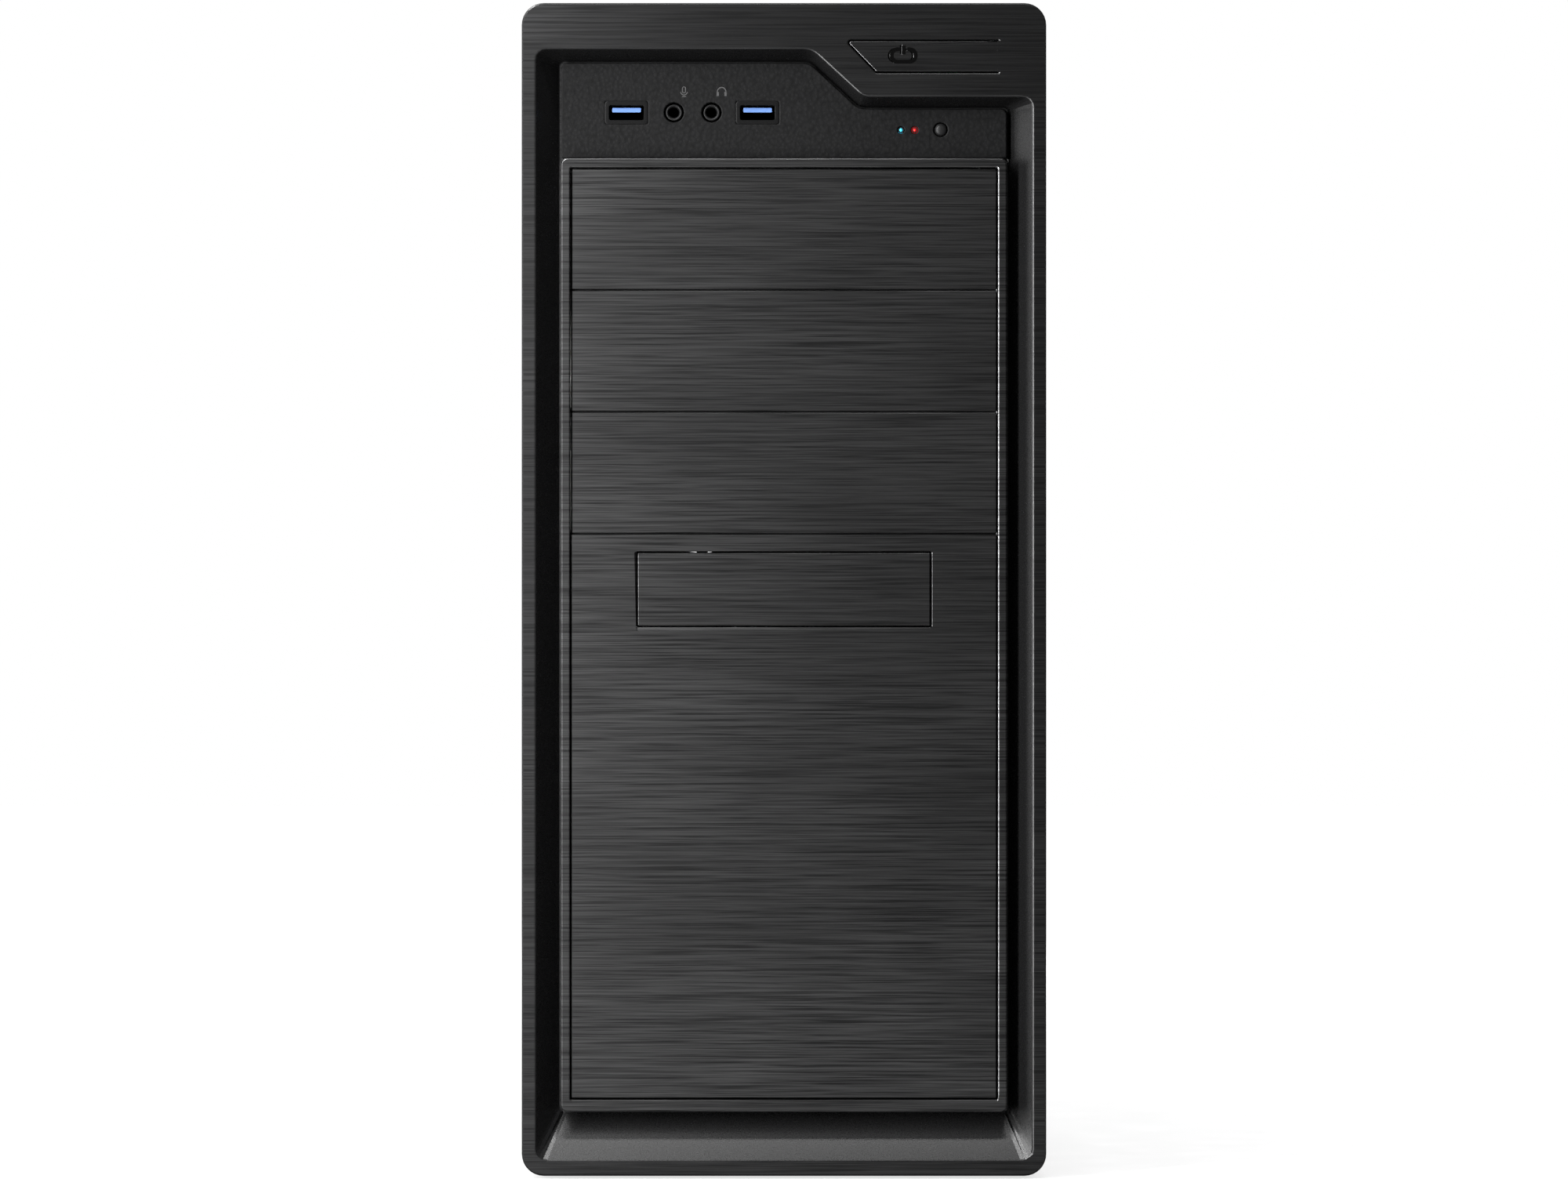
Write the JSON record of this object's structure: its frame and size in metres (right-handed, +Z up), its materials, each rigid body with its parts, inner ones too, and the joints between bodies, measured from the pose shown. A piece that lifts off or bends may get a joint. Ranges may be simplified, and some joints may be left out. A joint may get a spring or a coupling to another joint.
{
  "type": "desktop computer tower",
  "caption": "Mid-size desktop computer tower with a brushed moulded front, drive bay covers, front sockets, removable sides and its inner parts.",
  "frame": {"origin": "on the floor under the middle of the case", "axes": "+Z up, +Y from the front to the back, +X to the right seen from the front"},
  "size_m": [0.182, 0.4, 0.408],
  "materials": {
    "brushed_black": "brushed, satin",
    "matt_black": "fine grained",
    "soft_black": "dull",
    "painted_steel": "fine textured black paint",
    "bare_steel": "galvanised, satin",
    "bright_steel": "nickel plated",
    "aluminium": "satin",
    "circuit_board": "green solder mask",
    "power_lamp": "clear tinted",
    "drive_lamp": "clear tinted",
    "black_cable": "satin",
    "red_cable": "satin"
  },
  "bodies": {
    "chassis": {"bottom_pan": "painted_steel", "top_cover": "painted_steel", "rear_wall": "bare_steel", "front_wall": "bare_steel", "motherboard_tray": "bare_steel", "drive_bay_cage": "bare_steel", "hard_drive_cage": "bare_steel", "foot_front_left": "soft_black", "foot_front_right": "soft_black", "foot_rear_left": "soft_black", "foot_rear_right": "soft_black", "io_bracket": "bare_steel", "socket_board": "circuit_board", "switch_board": "circuit_board", "usb_port_left": "bright_steel", "usb_port_right": "bright_steel", "microphone_jack": "matt_black", "headphone_jack": "matt_black", "psu_case": "bare_steel", "psu_inlet": "matt_black", "psu_fan_guard": "bright_steel", "rear_fan_frame": "matt_black", "cpu_fan_frame": "matt_black", "motherboard": "circuit_board", "cpu_heatsink": "aluminium", "ram_module_1": "circuit_board", "ram_module_2": "circuit_board", "io_shield": "bright_steel", "rear_keyboard_port": "bright_steel", "rear_display_port": "bright_steel", "rear_network_port": "bright_steel", "rear_usb_port": "bright_steel", "rear_audio_jacks": "bright_steel", "hard_drive": "aluminium", "main_power_lead": "black_cable", "drive_power_lead": "black_cable", "drive_data_lead": "red_cable", "front_panel_lead": "black_cable"},
    "front_bezel": {"front_bezel": "brushed_black", "io_panel": "matt_black", "centre_frame": "brushed_black", "lower_panel": "brushed_black", "power_lamp_lens": "power_lamp", "drive_lamp_lens": "drive_lamp"},
    "bay_cover_upper": {"bay_cover_upper": "brushed_black"},
    "bay_cover_middle": {"bay_cover_middle": "brushed_black"},
    "bay_cover_lower": {"bay_cover_lower": "brushed_black"},
    "small_bay_cover": {"small_bay_cover": "brushed_black"},
    "power_button": {"power_button": "brushed_black"},
    "reset_button": {"reset_button": "matt_black"},
    "left_side_panel": {"left_side_panel": "painted_steel"},
    "right_side_panel": {"right_side_panel": "painted_steel"},
    "left_lower_thumbscrew": {"left_lower_thumbscrew": "matt_black"},
    "left_upper_thumbscrew": {"left_upper_thumbscrew": "matt_black"},
    "right_lower_thumbscrew": {"right_lower_thumbscrew": "matt_black"},
    "right_upper_thumbscrew": {"right_upper_thumbscrew": "matt_black"},
    "psu_rocker": {"psu_rocker": "matt_black"},
    "psu_fan_rotor": {"psu_fan_rotor": "matt_black"},
    "rear_fan_rotor": {"rear_fan_rotor": "matt_black"},
    "cpu_fan_rotor": {"cpu_fan_rotor": "matt_black"}
  },
  "joints": [
    {"name": "front_bezel_pull", "type": "slide", "parent": "chassis", "child": "front_bezel", "axis": [0, -1, 0], "range_m": [0, 0.03]},
    {"name": "bay_cover_upper_pull", "type": "slide", "parent": "front_bezel", "child": "bay_cover_upper", "axis": [0, -1, 0], "range_m": [0, 0.04]},
    {"name": "bay_cover_middle_pull", "type": "slide", "parent": "front_bezel", "child": "bay_cover_middle", "axis": [0, -1, 0], "range_m": [0, 0.04]},
    {"name": "bay_cover_lower_pull", "type": "slide", "parent": "front_bezel", "child": "bay_cover_lower", "axis": [0, -1, 0], "range_m": [0, 0.04]},
    {"name": "small_bay_cover_pull", "type": "slide", "parent": "front_bezel", "child": "small_bay_cover", "axis": [0, -1, 0], "range_m": [0, 0.04]},
    {"name": "power_button_press", "type": "hinge", "parent": "front_bezel", "child": "power_button", "pos_m": [0.0744, -0.1976, 0.3895], "axis": [0, 0, -1], "range_deg": [0, 2.2], "stiffness_Nm_per_rad": 1.5},
    {"name": "reset_button_press", "type": "slide", "parent": "front_bezel", "child": "reset_button", "axis": [0, 1, 0], "range_m": [0, 0.0012], "stiffness_N_per_m": 800},
    {"name": "left_panel_slide", "type": "slide", "parent": "chassis", "child": "left_side_panel", "axis": [0, 1, 0], "range_m": [0, 0.018]},
    {"name": "right_panel_slide", "type": "slide", "parent": "chassis", "child": "right_side_panel", "axis": [0, 1, 0], "range_m": [0, 0.018]},
    {"name": "left_lower_thumbscrew_turn", "type": "hinge", "parent": "left_side_panel", "child": "left_lower_thumbscrew", "pos_m": [-0.0835, 0.194, 0.06], "axis": [0, 1, 0], "continuous": true},
    {"name": "left_upper_thumbscrew_turn", "type": "hinge", "parent": "left_side_panel", "child": "left_upper_thumbscrew", "pos_m": [-0.0835, 0.194, 0.352], "axis": [0, 1, 0], "continuous": true},
    {"name": "right_lower_thumbscrew_turn", "type": "hinge", "parent": "right_side_panel", "child": "right_lower_thumbscrew", "pos_m": [0.0835, 0.194, 0.06], "axis": [0, 1, 0], "continuous": true},
    {"name": "right_upper_thumbscrew_turn", "type": "hinge", "parent": "right_side_panel", "child": "right_upper_thumbscrew", "pos_m": [0.0835, 0.194, 0.352], "axis": [0, 1, 0], "continuous": true},
    {"name": "psu_rocker_tilt", "type": "hinge", "parent": "chassis", "child": "psu_rocker", "pos_m": [-0.042, 0.1827, 0.377], "axis": [-1, 0, 0], "range_deg": [0, 16]},
    {"name": "psu_fan_spin", "type": "hinge", "parent": "chassis", "child": "psu_fan_rotor", "pos_m": [0.028, 0.1677, 0.3582], "axis": [0, 1, 0], "continuous": true},
    {"name": "rear_fan_spin", "type": "hinge", "parent": "chassis", "child": "rear_fan_rotor", "pos_m": [-0.032, 0.1732, 0.262], "axis": [0, 1, 0], "continuous": true},
    {"name": "cpu_fan_spin", "type": "hinge", "parent": "chassis", "child": "cpu_fan_rotor", "pos_m": [0.0277, 0.112, 0.252], "axis": [1, 0, 0], "continuous": true}
  ]
}
